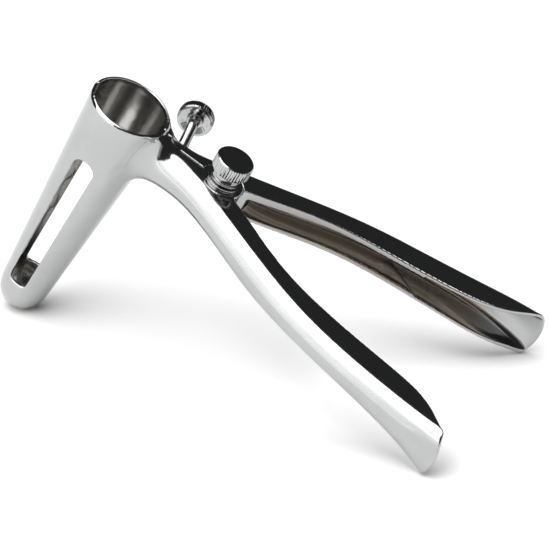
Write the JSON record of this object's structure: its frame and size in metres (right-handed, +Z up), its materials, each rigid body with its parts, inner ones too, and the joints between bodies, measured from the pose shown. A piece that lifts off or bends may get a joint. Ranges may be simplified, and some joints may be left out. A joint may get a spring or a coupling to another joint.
{
  "type": "anal speculum",
  "caption": "Fenestrated anal speculum with hinged valves: a tapered split tube with side windows, channel handles, and thumb screws that lock the pivot and hold the valves open.",
  "frame": {"origin": "centre of the bounding box, on the plane that the tool stands on", "axes": "+Z up; +X from the tube towards the handle ends; +Y from the near lever towards the far lever, square to the plane in which the valves part"},
  "size_m": [0.1892, 0.1012, 0.097],
  "materials": {
    "forging_chrome": "polished",
    "screw_chrome": "turned and polished",
    "knob_chrome": "polished, knurled edge"
  },
  "bodies": {
    "far_lever": {"far_lever": "forging_chrome"},
    "near_lever": {"near_lever": "forging_chrome", "pivot_collar": "screw_chrome"},
    "pivot_screw": {"pivot_screw": "screw_chrome", "pivot_knob": "knob_chrome"},
    "spread_screw": {"spread_screw": "screw_chrome", "spread_knob": "knob_chrome"}
  },
  "joints": [
    {"name": "lever_hinge", "type": "hinge", "parent": "far_lever", "child": "near_lever", "pos_m": [-0.01361, 0, 0.06318], "axis": [0.4334, 0, 0.9012], "range_deg": [0, 35]},
    {"name": "pivot_screw_turn", "type": "hinge", "parent": "near_lever", "child": "pivot_screw", "pos_m": [-0.01361, 0, 0.06318], "axis": [0.4334, 0, 0.9012], "range_deg": [0, 180]},
    {"name": "spread_screw_travel", "type": "slide", "parent": "far_lever", "child": "spread_screw", "axis": [0.1565, -0.9848, -0.0753], "range_m": [0, 0.0112]}
  ],
  "couplings": [
    {"joint": "spread_screw_travel", "follows": "lever_hinge", "m_per_rad": 0.018}
  ]
}
